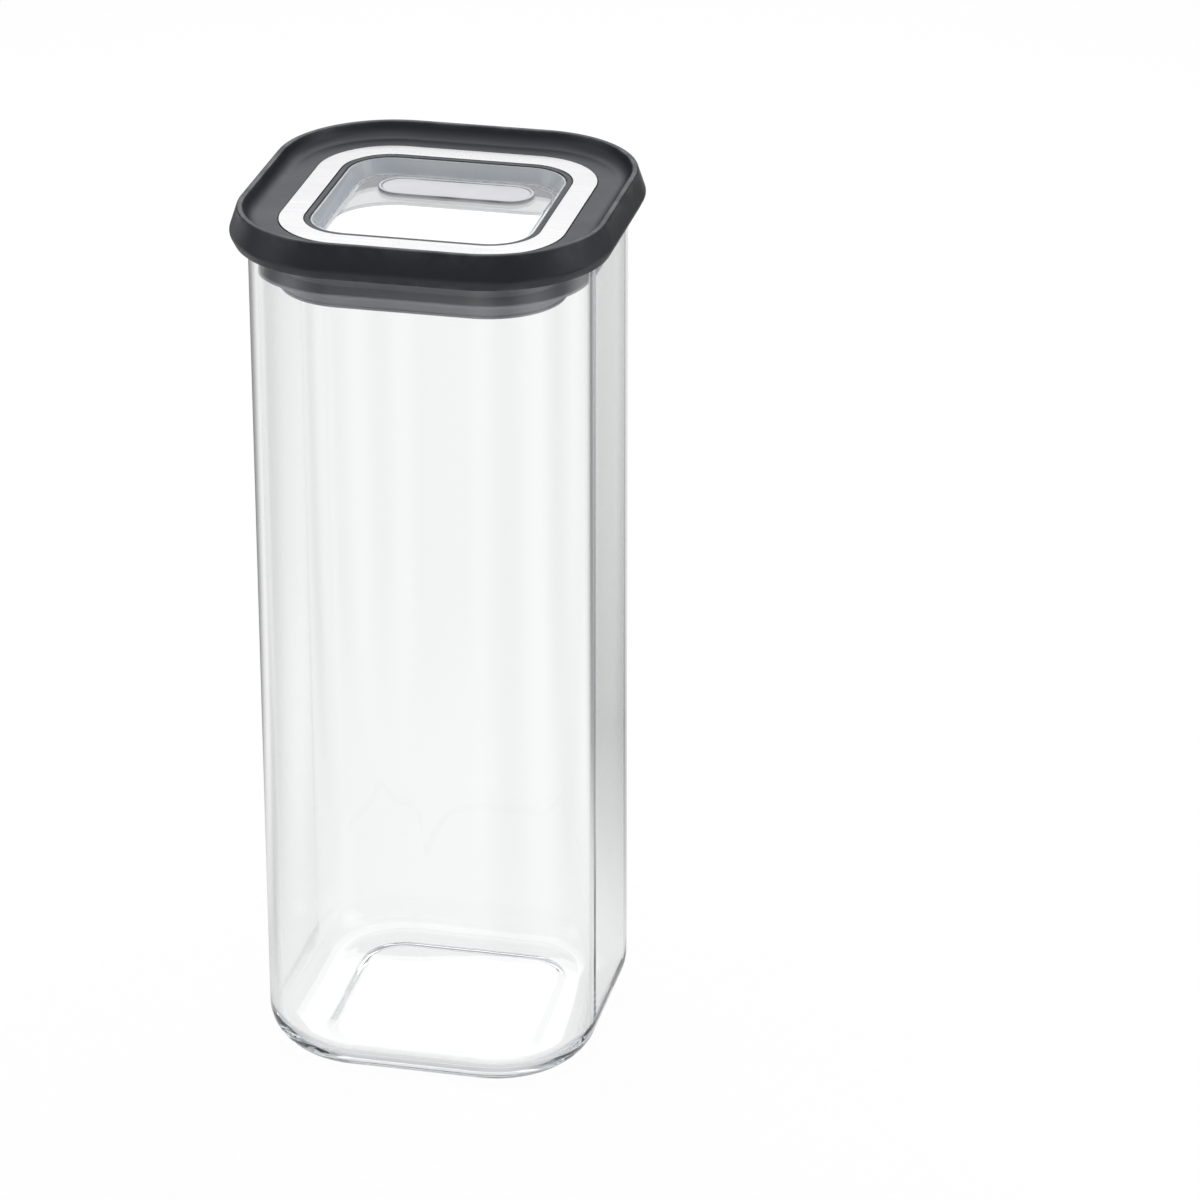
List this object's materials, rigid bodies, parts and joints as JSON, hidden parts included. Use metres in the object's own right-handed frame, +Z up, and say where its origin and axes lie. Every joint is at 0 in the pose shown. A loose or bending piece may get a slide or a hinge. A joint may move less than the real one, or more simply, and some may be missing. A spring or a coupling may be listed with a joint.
{
  "type": "storage canister",
  "caption": "Tall square glass canister with rounded corners and a lift-off lid: flared black skirt, stacking dish, steel trim ring, clear window and a silicone plug seal.",
  "frame": {"origin": "centre of the jar's foot, on the surface that it stands on", "axes": "+Z up through the lid, -Y towards the front, +Y towards the side with the writing field, +X to the right"},
  "size_m": [0.1104, 0.1104, 0.2655],
  "materials": {
    "jar_glass": "clear blown borosilicate glass, polished",
    "black_plastic": "satin moulded plastic",
    "brushed_steel": "fine brushed stainless steel",
    "clear_plastic": "clear polished plastic",
    "gasket_rubber": "translucent white silicone, matt",
    "frosted_film": "frosted, takes a pencil or marker",
    "milky_plastic": "translucent, satin",
    "grey_silicone": "translucent smoke-grey silicone, satin"
  },
  "bodies": {
    "jar": {"glass_jar": "jar_glass"},
    "lid": {"lid_shell": "black_plastic", "steel_trim_ring": "brushed_steel", "window_dish": "clear_plastic", "window_gasket": "gasket_rubber", "label_field": "frosted_film", "seal_collar": "milky_plastic", "silicone_seal": "grey_silicone"}
  },
  "joints": [
    {"name": "lid_lift", "type": "slide", "parent": "jar", "child": "lid", "axis": [0, 0, 1], "range_m": [0, 0.12]}
  ]
}
